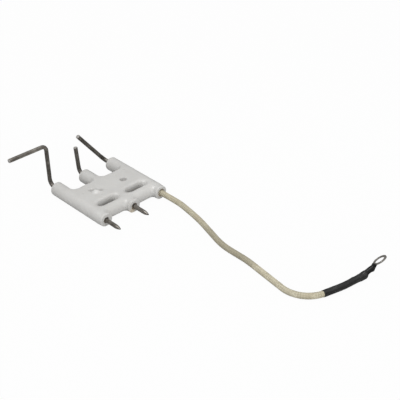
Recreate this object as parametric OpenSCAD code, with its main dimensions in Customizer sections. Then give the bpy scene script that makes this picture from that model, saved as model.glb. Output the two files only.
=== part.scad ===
// Three-rod ignition electrode: a ceramic block with an ionisation rod, an
// ignition rod and an earth rod, and an earthing lead with a ring terminal.
// Origin: midway between the two fixing slots, at the height of the barrel axes.
// +Y points out of the front of the block (electrode tips), +X to the earth
// side, +Z up. All sizes in millimetres.

/* [Ceramic block] */
// Distance between neighbouring barrel axes
barrel_pitch = 20; // [19:0.5:24]
// Outside diameter of each barrel
barrel_diameter = 8.2; // [8:0.1:9]
// Overall length of the block along the barrels
block_length = 45.5; // [42:0.5:52]
// Thickness of the web that joins the barrels
web_thickness = 7.9; // [7.3:0.1:7.9]
// From the front end of the barrels back to the floor of each notch
notch_depth = 13.6; // [11:0.1:15]
// Corner radius at the floor of each notch
notch_radius = 5; // [3:0.1:6]
// From the fixing slots to the rear end of the barrels
slot_to_rear = 11.45; // [11.2:0.05:12.6]

/* [Fixing slots] */
// End-to-end length of each slot
slot_length = 11; // [9:0.5:12]
// Width of each slot
slot_width = 3.2; // [3:0.1:4]
// Rim radius of the relief round each slot at the top face
relief_radius = 3.45; // [2.8:0.05:3.8]
// Depth of the relief below the top face
relief_depth = 2.5; // [1:0.1:3.2]

/* [Electrode rods] */
// Diameter of the three electrode rods
rod_diameter = 2.4; // [2:0.05:2.5]
// Length of the bare pins behind the barrels, with their points
pin_length = 12.2; // [9:0.1:16]
// Length of the pointed part of each pin
point_length = 3.6; // [1:0.1:5]
// Inside radius of the small bends, measured to the rod axis
bend_radius = 4; // [3:0.1:5]
// Height of the ionisation rod's arm above the barrel axis
ionisation_height = 25.4; // [16:0.1:40]
// Sideways reach of the ionisation rod's arm
ionisation_reach = 24.6; // [10:0.1:40]
// Height of the ignition rod's tip above the barrel axis
ignition_height = 16.4; // [10:0.1:17.5]
// Height of the earth rod's tip above the barrel axis
earth_height = 22.2; // [21:0.1:26]
// Sideways distance from the ignition rod's axis to the earth rod's tip
earth_offset = 2.7; // [2:0.1:8]

/* [Earthing lead] */
// Outside diameter of the braided lead
lead_diameter = 3.4; // [3:0.1:3.6]
// Diameter of the conductor
conductor_diameter = 1.3; // [1:0.1:1.5]
// Wall of the glass-fibre braid
braid_wall = 0.35; // [0.25:0.05:0.5]

/* [Ring terminal] */
// Diameter of the hole in the ring
ring_hole = 5.3; // [4.3:0.1:5.4]
// Outside diameter of the ring
ring_diameter = 7.6; // [7.2:0.1:7.6]
// Thickness of the terminal's sheet
sheet = 0.6; // [0.5:0.1:0.9]

/* [Hidden] */

// barrel axes
ionisation_x = -barrel_pitch;
ignition_x = 0;
earth_x = barrel_pitch;

rear_y = -slot_to_rear;          // rear end of the barrels
front_y = rear_y + block_length; // front end of the barrels
web_top = web_thickness / 2;     // top face of the web
notch_floor_y = front_y - notch_depth;

rod_radius = rod_diameter / 2;
lead_radius = lead_diameter / 2;
conductor_radius = conductor_diameter / 2;
counterbore_radius = 1.9;            // rear end of the two barrels with pins
lead_bore_radius = lead_radius + 0.45;
fit = 0.02;                          // clearance round the inner parts
thinning = 0.02;                     // bends are drawn this much slimmer

WHITE = [0.88, 0.88, 0.86];
STEEL = [0.36, 0.34, 0.32];
CEMENT = [0.62, 0.5, 0.38];
BRAID = [0.80, 0.75, 0.63];
RUBBER = [0.72, 0.30, 0.22];
COPPER = [0.80, 0.48, 0.28];
BLACK = [0.07, 0.07, 0.07];
TIN = [0.75, 0.75, 0.74];

// ---------- helpers ----------
function unit(v) = v / norm(v);

// point at a distance from one point towards another
function along(from, to, distance) = from + unit(to - from) * distance;

// points on an arc between two angles
function arc_points(x, y, radius, angle_0, angle_1, steps) =
  [for (i = [0:steps])
    let (angle = angle_0 + (angle_1 - angle_0) * i / steps)
    [x + radius * cos(angle), y + radius * sin(angle)]];

// length from a corner to where its bend starts
function setback(before, corner, after, radius) =
  radius * tan(acos(unit(corner - before) * unit(after - corner)) / 2);

// turns local +Z to run from one point towards another, starting at the first
module aim(from, to) {
  dir = unit(to - from);
  translate(from) rotate([0, acos(dir[2]), atan2(dir[1], dir[0])]) children();
}

// turns local +Z to run forwards along a barrel axis, starting at y
module aim_front(x, y) translate([x, y, 0]) rotate([-90, 0, 0]) children();

// straight round piece, a tube where inner > 0
module straight(from, to, outer, inner = 0) {
  length = norm(to - from);
  aim(from, to) difference() {
    cylinder(h = length, r = outer, $fn = 48);
    if (inner > 0) translate([0, 0, -1]) cylinder(h = length + 2, r = inner, $fn = 48);
  }
}

// round bend at a corner, run on a little at both ends to join its neighbours
module bend(before, corner, after, radius, outer, inner = 0) {
  run_on = 0.25;
  dir_in = unit(corner - before);
  dir_out = unit(after - corner);
  turn = acos(dir_in * dir_out);
  inward = unit(dir_out - dir_in * (dir_in * dir_out));
  centre = corner - dir_in * (radius * tan(turn / 2)) + inward * radius;
  axis = cross(-inward, dir_in);
  extra = run_on / radius * 180 / PI;
  multmatrix([[-inward[0], dir_in[0], axis[0], centre[0]],
              [-inward[1], dir_in[1], axis[1], centre[1]],
              [-inward[2], dir_in[2], axis[2], centre[2]],
              [0, 0, 0, 1]])
    rotate([0, 0, -extra]) rotate_extrude(angle = turn + 2 * extra, $fn = 96)
      translate([radius, 0]) difference() {
        circle(r = outer - thinning, $fn = 48);
        if (inner > 0) circle(r = inner + thinning, $fn = 48);
      }
}

// ---------- ceramic block ----------
bore_radius = rod_radius + 0.15;       // bore that carries a rod
counterbore_depth = 3.5;
lead_bore_depth = 17;
nose_y = rear_y + 2.95 + web_top;      // axis of the web's rounded rear edge
web_front_y = notch_floor_y + notch_radius + 0.6;
notch_width = barrel_pitch - 2;
slot_x = barrel_pitch / 2;

// hollows in the top face: x, y, rim radius, depth
DIMPLES = [
  [slot_x - 0.3, 9.8, 2.05, 1.8],
  [-slot_x - 0.6, 13.9, 1.2, 0.4],
  [-slot_x + 4.2, 10.4, 1.2, 0.4],
];

module barrel(x) {
  edge = 0.8;
  flat = barrel_diameter / 2 - edge;
  aim_front(x, rear_y) rotate_extrude($fn = 96)
    polygon(concat([[0, 0]],
                   arc_points(flat, edge, edge, -90, 0, 6),
                   arc_points(flat, block_length - edge, edge, 0, 90, 6),
                   [[0, block_length]]));
}

// side outline of the web, drawn as (y, z) and extruded along X
module web_blank() {
  translate([-barrel_pitch, 0, 0]) rotate([90, 0, 90])
    linear_extrude(height = 2 * barrel_pitch)
      polygon(concat([[web_front_y, -web_top], [web_front_y, web_top]],
                     arc_points(nose_y, 0, web_top, 90, 270, 24)));
}

// gap between two barrels, open at the front
module notch(x) {
  half = notch_width / 2;
  inset = half - notch_radius;
  corner_y = notch_floor_y + notch_radius;
  translate([x, 0, -10]) linear_extrude(height = 20) union() {
    translate([-half, corner_y]) square([notch_width, 30]);
    translate([-inset, notch_floor_y]) square([2 * inset, 30]);
    for (side = [-1, 1]) translate([side * inset, corner_y])
      circle(r = notch_radius, $fn = 64);
  }
}

// through slot with a flared relief that runs on above the top face
module slot(x) {
  half = (slot_length - slot_width) / 2;   // middle to the axis of a round end
  radius = slot_width / 2;
  relief_z = web_top - relief_depth;
  flare_height = relief_depth + 1;
  flare_radius = radius + (relief_radius - radius) / relief_depth * flare_height;
  translate([x, 0, 0]) {
    for (side = [-1, 1]) translate([side * half, 0, -10])
      cylinder(h = 20, r = radius, $fn = 48);
    translate([-half, -radius, -10]) cube([2 * half, 2 * radius, 20]);
    for (side = [-1, 1]) translate([side * half, 0, relief_z])
      cylinder(h = flare_height, r1 = radius, r2 = flare_radius, $fn = 64);
    translate([-half, 0, relief_z]) rotate([90, 0, 90]) linear_extrude(height = 2 * half)
      polygon([[-radius + thinning, 0], [radius - thinning, 0],
               [flare_radius - thinning, flare_height],
               [-flare_radius + thinning, flare_height]]);
  }
}

// radius of the sphere whose cap has this rim radius and height
function cap_sphere(rim, height) = (rim * rim + height * height) / (2 * height);

// low round pip: spherical cap on a short foot
module pip(rim, height) {
  radius = cap_sphere(rim, height);
  rotate_extrude($fn = 64)
    polygon(concat([[0, -0.5], [rim, -0.5]],
                   arc_points(0, height - radius, radius, 90 - asin(rim / radius), 90, 8)));
}

// cutter for a spherical hollow
module dimple(rim, depth) {
  radius = cap_sphere(rim, depth);
  translate([0, 0, radius - depth]) sphere(r = radius, $fn = 64);
}

module ceramic_body() color(WHITE) difference() {
  union() {
    for (x = [ionisation_x, ignition_x, earth_x]) barrel(x);
    difference() {
      web_blank();
      for (side = [-1, 1]) notch(side * slot_x);
    }
    translate([-slot_x + 0.5, 10.2, web_top]) pip(2.6, 1.1);
  }
  for (side = [-1, 1]) slot(side * slot_x);
  for (d = DIMPLES) translate([d[0], d[1], web_top]) dimple(d[2], d[3]);
  for (x = [ionisation_x, ignition_x]) aim_front(x, rear_y) {
    translate([0, 0, -1]) cylinder(h = block_length + 2, r = bore_radius, $fn = 64);
    translate([0, 0, -1])
      cylinder(h = counterbore_depth + 1, r = counterbore_radius, $fn = 64);
  }
  aim_front(earth_x, rear_y) {
    translate([0, 0, 10]) cylinder(h = block_length, r = bore_radius, $fn = 64);
    translate([0, 0, -1]) cylinder(h = lead_bore_depth + 1, r = lead_bore_radius, $fn = 64);
  }
}

// ---------- electrode rods ----------
ionisation_corner = [ionisation_x, front_y + 5.7, 0];
ionisation_elbow = [ionisation_x, front_y + 6.42, ionisation_height];
ionisation_tip = [ionisation_x - ionisation_reach, front_y + 6.64, ionisation_height];
elbow_radius = 3;

ignition_corner = [ignition_x, front_y + 4.24, 0];
ignition_tip = [ignition_x, front_y + 6.25, ignition_height];

earth_start = [earth_x, rear_y + 11.2, 0];
earth_corner = [earth_x, front_y + 6.19, 0];
earth_tip = [earth_offset, front_y + 7.03, earth_height];

// rod from the point of its pin, along the bore and round its first corner; a
// shallow groove just inside the barrel keys it into the cement
module rod_with_pin(x, corner, after) {
  start = [x, rear_y - pin_length, 0];
  groove_start = pin_length + 0.25;
  groove_end = pin_length + 0.95;
  length = norm(corner - start) - setback(start, corner, after, bend_radius);
  aim_front(x, start[1]) union() {
    cylinder(h = point_length, r1 = 0.12, r2 = rod_radius, $fn = 48);
    translate([0, 0, point_length])
      cylinder(h = groove_start - point_length, r = rod_radius, $fn = 48);
    translate([0, 0, groove_start - 0.2]) cylinder(h = 1.1, r = rod_radius - 0.22, $fn = 48);
    translate([0, 0, groove_end]) cylinder(h = length - groove_end, r = rod_radius, $fn = 48);
  }
  bend(start, corner, after, bend_radius, rod_radius);
}

// free end of a rod, its rim broken by a small chamfer
module rod_end(from, tip) {
  chamfer = 0.25;
  length = norm(tip - from) - chamfer;
  aim(from, tip) union() {
    cylinder(h = length, r = rod_radius, $fn = 48);
    translate([0, 0, length])
      cylinder(h = chamfer, r1 = rod_radius, r2 = rod_radius - chamfer, $fn = 48);
  }
}

module ionisation_electrode() color(STEEL) union() {
  corner_trim = setback([ionisation_x, 0, 0], ionisation_corner, ionisation_elbow, bend_radius);
  elbow_trim = setback(ionisation_corner, ionisation_elbow, ionisation_tip, elbow_radius);
  rod_with_pin(ionisation_x, ionisation_corner, ionisation_elbow);
  straight(along(ionisation_corner, ionisation_elbow, corner_trim),
           along(ionisation_elbow, ionisation_corner, elbow_trim), rod_radius);
  bend(ionisation_corner, ionisation_elbow, ionisation_tip, elbow_radius, rod_radius);
  rod_end(along(ionisation_elbow, ionisation_tip, elbow_trim), ionisation_tip);
}

module ignition_electrode() color(STEEL) union() {
  trim = setback([ignition_x, 0, 0], ignition_corner, ignition_tip, bend_radius);
  rod_with_pin(ignition_x, ignition_corner, ignition_tip);
  rod_end(along(ignition_corner, ignition_tip, trim), ignition_tip);
}

module earth_electrode() color(STEEL) union() {
  trim = setback(earth_start, earth_corner, earth_tip, bend_radius);
  straight(earth_start, along(earth_corner, earth_start, trim), rod_radius);
  bend(earth_start, earth_corner, earth_tip, bend_radius, rod_radius);
  rod_end(along(earth_corner, earth_tip, trim), earth_tip);
}

// ---------- inside the barrels ----------
// ring in a barrel, its rear face at a depth from the barrel's rear end
module seal(x, depth, length, outer, inner)
  aim_front(x, rear_y + depth) difference() {
    cylinder(h = length, r = outer, $fn = 64);
    translate([0, 0, -1]) cylinder(h = length + 2, r = inner, $fn = 64);
  }
module pin_seal(x) seal(x, 0.9, 2.55, counterbore_radius - fit, rod_radius + fit);

module ionisation_cement_seal() color(CEMENT) pin_seal(ionisation_x);
module ignition_cement_seal() color(CEMENT) pin_seal(ignition_x);
module earth_cement_seal() color(CEMENT)
  seal(earth_x, 0.4, 2.4, lead_bore_radius - fit, lead_radius + fit);

// crimp sleeve: earth rod in its front half, conductor in its rear half
module crimp_ferrule() color(TIN) aim_front(earth_x, rear_y + 5.8) difference() {
  length = 10.4;
  cylinder(h = length, r = 1.62, $fn = 48);
  translate([0, 0, -1]) cylinder(h = 12, r = conductor_hole, $fn = 48);
  translate([0, 0, length / 2]) cylinder(h = 6, r = rod_radius + fit, $fn = 48);
}

// ---------- lead ----------
// The lead is five lengths that meet at joints; each length but the last has a
// rounded rear end that faces a hollow in the next.
layer_gap = 0.03;                      // clearance between the lead's layers
braid_inner = lead_radius - braid_wall;
conductor_hole = conductor_radius + layer_gap;
ball_radius = lead_radius;             // rounded end of a length
cup_radius = lead_radius + 0.06;       // hollow that faces it
braid_setback = 0.62;                  // start of the braid beyond a joint

// layers: outer radius, inner radius, y of the front end, reach past the last corner
BRAID_LAYER = [lead_radius, braid_inner, rear_y + 5.6, 1.9];
INSULATION_LAYER = [braid_inner - layer_gap, conductor_hole, rear_y + 5.6, 2.6];
CONDUCTOR_LAYER = [conductor_radius, 0, rear_y + 10.8, 7.6];

// route: x from the earth barrel's axis, distance behind the barrels, z, bend
// radius; the first row is the first joint, the others are corners
STATIONS = [
  [0, 8.8, 0, 0],
  [0, 15.99, 0, 60],
  [-1.69, 32.76, -1.5, 79.7],
  [-9.04, 58.33, -2.25, 48.2],
  [-9.17, 76.94, -2.25, 58.7],
  [-15.14, 118.83, -2.25, 15.7],
  [10.02, 125.01, -2.25, 41.8],
  [22.6, 126.45, -2.25, 6],
];
last_corner = len(STATIONS) - 1;
station_points = [for (s = STATIONS) [earth_x + s[0], rear_y - s[1], s[2]]];
terminal_dir = unit([0.8749, -0.2338, 0.4240]);
route = concat(station_points, [station_points[last_corner] + terminal_dir * 30]);
trims = [for (i = [0:last_corner])
  i == 0 ? 0 : setback(route[i - 1], route[i], route[i + 1], STATIONS[i][3])];

// point a fraction of the way from corner i to the next
function between(i, fraction) = route[i] + (route[i + 1] - route[i]) * fraction;
joints = [route[0], between(2, 0.517), between(3, 0.573), between(4, 0.376)];
// first and last corner of lengths 2 to 5
SPANS = [[1, 2], [3, 3], [4, 4], [5, 7]];

function bend_start(i) = along(route[i], route[i - 1], trims[i]);
function bend_end(i) = along(route[i], route[i + 1], trims[i]);
module route_bend(i, outer, inner)
  bend(route[i - 1], route[i], route[i + 1], STATIONS[i][3], outer, inner);

// start of a layer, hollowed round a joint
module lead_start(joint, to, outer, inner) {
  is_braid = outer > cup_radius - 0.2;
  z_inner = sqrt(cup_radius * cup_radius - inner * inner);
  z_outer = is_braid ? braid_setback : sqrt(cup_radius * cup_radius - outer * outer);
  rim = is_braid ? sqrt(cup_radius * cup_radius - z_outer * z_outer) : outer;
  length = norm(to - joint);
  aim(joint, to) rotate_extrude($fn = 48)
    polygon(concat(arc_points(0, 0, cup_radius, atan2(z_inner, inner), atan2(z_outer, rim), 8),
                   is_braid ? [[outer, z_outer]] : [],
                   [[outer, length], [inner, length]]));
}

// end of a layer, rounded about a joint
module lead_end(from, joint, outer, inner) {
  angle_0 = outer >= ball_radius ? 0 : acos(outer / ball_radius);
  angle_1 = acos(inner / ball_radius);
  aim(from, joint) rotate_extrude($fn = 48)
    polygon(concat([[inner, 0], [outer, 0]],
                   arc_points(0, norm(joint - from), ball_radius, angle_0, angle_1, 8)));
}

// one layer of length n; length 1 is straight, length 5 is cut off square
module lead_length(n, layer) {
  outer = layer[0];
  inner = layer[1];
  if (n == 1) {
    lead_end([earth_x, layer[2], 0], joints[0], outer, inner);
  } else {
    first = SPANS[n - 2][0];
    last = SPANS[n - 2][1];
    lead_start(joints[n - 2], bend_start(first), outer, inner);
    for (i = [first:last]) {
      route_bend(i, outer, inner);
      if (i < last) straight(bend_end(i), bend_start(i + 1), outer, inner);
    }
    if (n < 5) lead_end(bend_end(last), joints[n - 1], outer, inner);
    else straight(bend_end(last), along(route[last], route[last + 1], layer[3]), outer, inner);
  }
}

module lead_braid_1() color(BRAID) lead_length(1, BRAID_LAYER);
module lead_braid_2() color(BRAID) lead_length(2, BRAID_LAYER);
module lead_braid_3() color(BRAID) lead_length(3, BRAID_LAYER);
module lead_braid_4() color(BRAID) lead_length(4, BRAID_LAYER);
module lead_braid_5() color(BRAID) lead_length(5, BRAID_LAYER);

module lead_insulation_1() color(RUBBER) lead_length(1, INSULATION_LAYER);
module lead_insulation_2() color(RUBBER) lead_length(2, INSULATION_LAYER);
module lead_insulation_3() color(RUBBER) lead_length(3, INSULATION_LAYER);
module lead_insulation_4() color(RUBBER) lead_length(4, INSULATION_LAYER);
module lead_insulation_5() color(RUBBER) lead_length(5, INSULATION_LAYER);

module lead_conductor_1() color(COPPER) lead_length(1, CONDUCTOR_LAYER);
module lead_conductor_2() color(COPPER) lead_length(2, CONDUCTOR_LAYER);
module lead_conductor_3() color(COPPER) lead_length(3, CONDUCTOR_LAYER);
module lead_conductor_4() color(COPPER) lead_length(4, CONDUCTOR_LAYER);
module lead_conductor_5() color(COPPER) lead_length(5, CONDUCTOR_LAYER);

// sleeve shrunk over the end of the braid and the crimp barrel; it swells over
// the end of the braid and narrows onto the barrel
module heat_shrink_sleeve() color(BLACK) {
  inner = lead_radius + fit;
  outer = inner + 0.16;
  swell = 2.1;       // outside radius over the end of the braid
  narrow = 1.36;     // inside radius over the crimp barrel
  straight(along(route[5], route[6], trims[5] + 0.1), bend_start(6), outer, inner);
  route_bend(6, outer, inner);
  length = norm(route[7] - route[6]) - trims[6] - trims[7];
  // profiles: radius, distance along the lead
  aim(bend_end(6), route[7]) rotate_extrude($fn = 48)
    polygon([[inner, 0], [outer, 0], [outer, length - 1.3], [swell, length - 0.5],
             [swell, length], [inner, length]]);
  route_bend(7, swell, inner);
  aim(bend_end(7), route[8]) rotate_extrude($fn = 48)
    polygon([[inner, 0], [swell, 0], [1.88, 1.05], [1.52, 2.2], [1.52, 3.4], [1.57, 4.7],
             [1.48, 7.19], [narrow, 7.19], [narrow, 1.7], [inner, 0.8]]);
}

// ---------- ring terminal ----------
// crimp barrel, tongue and flat ring; local +X runs out from the last corner
// and local +Z is square to the ring
module ring_terminal() color(TIN) {
  up = [-0.2279, 0.5738, 0.7867];
  normal = unit(up - terminal_dir * (terminal_dir * up));
  side = cross(normal, terminal_dir);
  origin = route[last_corner];
  crimp_radius = 1.32;
  sheet_z = crimp_radius - sheet;      // underside of the tongue and ring
  ring_reach = 12.45;
  tongue_width = 2.6;
  multmatrix([[terminal_dir[0], side[0], normal[0], origin[0]],
              [terminal_dir[1], side[1], normal[1], origin[1]],
              [terminal_dir[2], side[2], normal[2], origin[2]],
              [0, 0, 0, 1]])
  difference() {
    union() {
      translate([2.9, 0, 0]) rotate([0, 90, 0]) cylinder(h = 5.1, r = crimp_radius, $fn = 48);
      // top of the barrel, carried on to the tongue
      translate([7.9, 0, 0]) intersection() {
        rotate([0, 90, 0]) cylinder(h = 0.8, r = crimp_radius, $fn = 48);
        translate([-1, -2, sheet_z]) cube([3, 4, 2]);
      }
      translate([8.62, -tongue_width / 2, sheet_z]) cube([1.8, tongue_width, sheet]);
      translate([ring_reach, 0, sheet_z])
        cylinder(h = sheet, r = ring_diameter / 2, $fn = 96);
    }
    translate([2, 0, 0]) rotate([0, 90, 0])
      cylinder(h = 6.1, r = conductor_radius + 0.04, $fn = 48);
    translate([ring_reach, 0, -3]) cylinder(h = 6, r = ring_hole / 2, $fn = 96);
  }
}

ceramic_body();
ionisation_electrode();
ignition_electrode();
earth_electrode();
ionisation_cement_seal();
ignition_cement_seal();
earth_cement_seal();
crimp_ferrule();
lead_braid_1();
lead_braid_2();
lead_braid_3();
lead_braid_4();
lead_braid_5();
lead_insulation_1();
lead_insulation_2();
lead_insulation_3();
lead_insulation_4();
lead_insulation_5();
lead_conductor_1();
lead_conductor_2();
lead_conductor_3();
lead_conductor_4();
lead_conductor_5();
heat_shrink_sleeve();
ring_terminal();
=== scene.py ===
"""Electrode block: three ceramic barrels joined by a web, an ionisation rod on the left, an
ignition rod in the middle, an earth rod on the right, and a braided lead out of the right
barrel's rear that ends in a ring terminal.

The barrels run along y with the front at +y; x goes left (-) to right (+) and z is up. The
middle barrel's axis is x = z = 0. Sizes are in millimetres and meshes are made in metres.
"""
import bpy
import math
import numpy as np
from mathutils import Vector, Matrix


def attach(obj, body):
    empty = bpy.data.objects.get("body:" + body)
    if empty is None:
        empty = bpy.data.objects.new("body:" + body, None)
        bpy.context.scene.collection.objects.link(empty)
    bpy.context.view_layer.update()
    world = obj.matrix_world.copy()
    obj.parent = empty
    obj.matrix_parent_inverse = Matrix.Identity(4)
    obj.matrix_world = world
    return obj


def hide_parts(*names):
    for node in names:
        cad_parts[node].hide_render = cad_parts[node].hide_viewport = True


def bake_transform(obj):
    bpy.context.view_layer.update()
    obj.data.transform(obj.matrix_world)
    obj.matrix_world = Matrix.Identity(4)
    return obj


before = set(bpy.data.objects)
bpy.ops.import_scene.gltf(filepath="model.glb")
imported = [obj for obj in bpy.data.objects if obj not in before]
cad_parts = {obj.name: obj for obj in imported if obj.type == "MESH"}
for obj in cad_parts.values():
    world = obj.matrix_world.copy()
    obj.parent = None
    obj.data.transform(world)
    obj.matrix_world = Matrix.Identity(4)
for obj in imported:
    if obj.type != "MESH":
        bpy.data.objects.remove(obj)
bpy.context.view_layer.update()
scene = bpy.context.scene

MM = 0.001
PITCH = 20.0                 # between barrel axes
BARREL_R = 4.1
REAR, FRONT = -11.45, 34.05  # the barrels' end faces
ROD_R = 1.2


# ------------------------------------------------------------------ mesh tools
def unit(vector):
    return vector / np.linalg.norm(vector)


def angles(sides):
    return np.arange(sides) / sides * 2 * np.pi


def ease(x):
    x = np.clip(x, 0, 1)
    return x * x * (3 - 2 * x)


def lookup(x, table):
    """Straight-line interpolation in a table of (place, value) pairs."""
    return np.interp(x, *np.transpose(table))


def bell(x, width, power=2):
    return np.exp(-(x / width) ** power)


def link_object(name, data):
    ob = bpy.data.objects.new(name, data)
    scene.collection.objects.link(ob)
    return ob


def add_attributes(mesh, attributes):
    for name, values in attributes.items():
        layer = mesh.attributes.new(name, "FLOAT", "POINT")
        layer.data.foreach_set("value", np.asarray(values, np.float32))


def make_mesh(name, verts, face_sets, attributes=None):
    """Smooth mesh; verts in mm, face_sets a list of (n, 4) or (n, 3) arrays."""
    mesh = bpy.data.meshes.new(name)
    mesh.vertices.add(len(verts))
    mesh.vertices.foreach_set("co", (np.asarray(verts, float) * MM).astype(np.float32).ravel())
    loops = np.concatenate([f.ravel() for f in face_sets]).astype(np.int32)
    sizes = np.concatenate([np.full(len(f), f.shape[1]) for f in face_sets]).astype(np.int32)
    starts = np.concatenate([[0], np.cumsum(sizes)[:-1]]).astype(np.int32)
    mesh.loops.add(len(loops))
    mesh.loops.foreach_set("vertex_index", loops)
    mesh.polygons.add(len(sizes))
    mesh.polygons.foreach_set("loop_start", starts)
    mesh.polygons.foreach_set("loop_total", sizes)
    mesh.polygons.foreach_set("use_smooth", np.full(len(sizes), True))
    add_attributes(mesh, attributes or {})
    mesh.update(calc_edges=True)
    mesh.validate()
    return link_object(name, mesh)


def sharpen(ob, degrees=55):
    """Mark the edges sharper than this angle, so that a rim stays crisp."""
    mesh = ob.data
    count = len(mesh.polygons)
    normals = np.empty(count * 3)
    mesh.polygons.foreach_get("normal", normals)
    normals = normals.reshape(-1, 3)
    loop_edges = np.empty(len(mesh.loops), np.int32)
    mesh.loops.foreach_get("edge_index", loop_edges)
    totals = np.empty(count, np.int32)
    mesh.polygons.foreach_get("loop_total", totals)
    order = np.argsort(loop_edges, kind="stable")
    edges, faces = loop_edges[order], np.repeat(np.arange(count), totals)[order]
    shared = edges[:-1] == edges[1:]
    first, second = normals[faces[:-1][shared]], normals[faces[1:][shared]]
    cosines = np.einsum("ij,ij->i", first, second)
    flags = np.zeros(len(mesh.edges), bool)
    flags[edges[:-1][shared][cosines < math.cos(math.radians(degrees))]] = True
    layer = (mesh.attributes.get("sharp_edge")
             or mesh.attributes.new("sharp_edge", "BOOLEAN", "EDGE"))
    layer.data.foreach_set("value", flags)
    mesh.update()


def rounded_path(corners, radii, step):
    """Points every step along a line of corners, each inner corner rounded to its radius."""
    corners = [np.asarray(corner, float) for corner in corners]
    points = []

    def straight(start, end, last=0):
        count = max(2, int(np.linalg.norm(end - start) / step))
        points.extend(start + (end - start) * j / count for j in range(count + last))

    here = corners[0]
    for before, corner, after, radius in zip(corners, corners[1:], corners[2:], radii):
        into, out = unit(corner - before), unit(after - corner)
        turn = math.acos(float(np.clip(into @ out, -1, 1)))
        setback = radius * math.tan(turn / 2)
        arc_start = corner - into * setback
        straight(here, arc_start)
        inward = unit(out - into * (into @ out))
        centre = arc_start + inward * radius
        count = max(4, int(radius * turn / step))
        for j in range(count):
            angle = turn * j / count
            points.append(centre - inward * radius * math.cos(angle)
                          + into * radius * math.sin(angle))
        here = corner + out * setback
    straight(here, corners[-1], last=1)
    return np.array(points)


def step_lengths(points):
    return np.linalg.norm(np.diff(points, axis=0), axis=1)


def running_length(points):
    return np.concatenate([[0], np.cumsum(step_lengths(points))])


class Path:
    """A line with a frame that doesn't twist; soften is how far its bends are averaged."""

    def __init__(self, points, up=(0, 0, 1), soften=0):
        points = np.asarray(points, float)
        points = points[np.concatenate([[True], step_lengths(points) > 1e-6])]
        if soften:
            points = self.softened(points, soften)
        self.stations = running_length(points)
        self.points = points
        tangents = np.gradient(points, self.stations, axis=0)
        tangents /= np.linalg.norm(tangents, axis=1)[:, None]
        self.tangents = tangents
        normals = [np.asarray(up, float)]
        for tangent in tangents:
            normals.append(unit(normals[-1] - tangent * (normals[-1] @ tangent)))
        self.normals = np.array(normals[1:])
        self.length = self.stations[-1]

    @staticmethod
    def softened(points, reach, step=0.1):
        stations = running_length(points)
        even = np.linspace(0, stations[-1], int(stations[-1] / step))
        points = np.stack([np.interp(even, stations, points[:, k]) for k in range(3)], 1)
        width = int(reach / step)
        kernel = np.hanning(2 * width + 3)[1:-1]
        kernel /= kernel.sum()
        padded = np.concatenate([points[0] + (points[0] - points[1:width + 1][::-1]), points,
                                 points[-1] + (points[-1] - points[-width - 1:-1][::-1])])
        return np.stack([np.convolve(padded[:, k], kernel, "valid") for k in range(3)], 1)

    def at(self, stations):
        """Centre, tangent and two side directions; runs on straight past either end."""
        stations = np.asarray(stations, float)

        def sample(rows):
            return np.stack([np.interp(stations, self.stations, rows[:, k])
                             for k in range(3)], -1)

        centre, tangent, normal = (sample(a) for a in (self.points, self.tangents, self.normals))
        tangent /= np.linalg.norm(tangent, axis=-1)[..., None]
        normal -= tangent * np.sum(normal * tangent, -1)[..., None]
        normal /= np.linalg.norm(normal, axis=-1)[..., None]
        over = (np.where(stations > self.length, stations - self.length, 0)
                + np.where(stations < 0, stations, 0))
        return centre + tangent * over[..., None], tangent, normal, np.cross(tangent, normal)

    def find(self, point):
        distances = np.linalg.norm(self.points - np.asarray(point), axis=1)
        return float(self.stations[np.argmin(distances)])


def grid_faces(rows, sides, first=0, flip=False, closed=False):
    """Quads between successive rings; closed also joins the last ring to the first."""
    i, j = np.meshgrid(np.arange(rows if closed else rows - 1), np.arange(sides), indexing="ij")
    k, below = (j + 1) % sides, (i + 1) % rows
    quads = np.stack([i * sides + j, i * sides + k, below * sides + k, below * sides + j], -1)
    quads = quads.reshape(-1, 4) + first
    return quads[:, ::-1] if flip else quads


def every_side(values, sides):
    """Values given per ring, repeated for each side."""
    values = np.asarray(values, float)
    return values if values.ndim == 2 else np.repeat(values[:, None], sides, 1)


def rings(path, stations, radii, sides, shift=0.0):
    radii, turn = every_side(radii, sides), angles(sides)
    centre, _, normal, side = path.at(stations)
    return (centre[:, None] + normal[:, None] * (radii * np.cos(turn))[..., None]
            + side[:, None] * (radii * np.sin(turn))[..., None] + shift).reshape(-1, 3)


def sweep(name, path, stations, radii, sides, attributes=None):
    """Closed solid of rings along the path, with a centre point at each end."""
    rows = len(stations)
    centres = path.at(stations)[0]
    verts = np.concatenate([rings(path, stations, radii, sides), centres[:1], centres[-1:]])
    j = np.arange(sides)
    k = (j + 1) % sides
    last = (rows - 1) * sides
    start_cap = np.stack([np.full(sides, rows * sides), k, j], 1)
    end_cap = np.stack([np.full(sides, rows * sides + 1), last + j, last + k], 1)
    full = {key: np.concatenate([val.ravel(), [val[0].mean(), val[-1].mean()]])
            for key, val in (attributes or {}).items()}
    ob = make_mesh(name, verts, [grid_faces(rows, sides), start_cap, end_cap], full)
    sharpen(ob)
    return ob


def tube(name, path, stations, outer, inner, sides, attributes=None, shift=0.0):
    """Closed hollow solid; shift moves each ring's points by a vector."""
    rows = len(stations)
    verts = np.concatenate([rings(path, stations, r, sides, shift) for r in (outer, inner)])
    j = np.arange(sides)
    k = (j + 1) % sides
    wall = rows * sides      # the inner wall's first vertex
    last = wall - sides
    start_cap = np.stack([k, j, wall + j, wall + k], 1)
    end_cap = np.stack([last + j, last + k, wall + last + k, wall + last + j], 1)
    faces = [grid_faces(rows, sides), grid_faces(rows, sides, wall, flip=True),
             start_cap, end_cap]
    full = {key: np.concatenate([val.ravel()] * 2) for key, val in (attributes or {}).items()}
    ob = make_mesh(name, verts, faces, full)
    sharpen(ob)
    return ob


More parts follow.
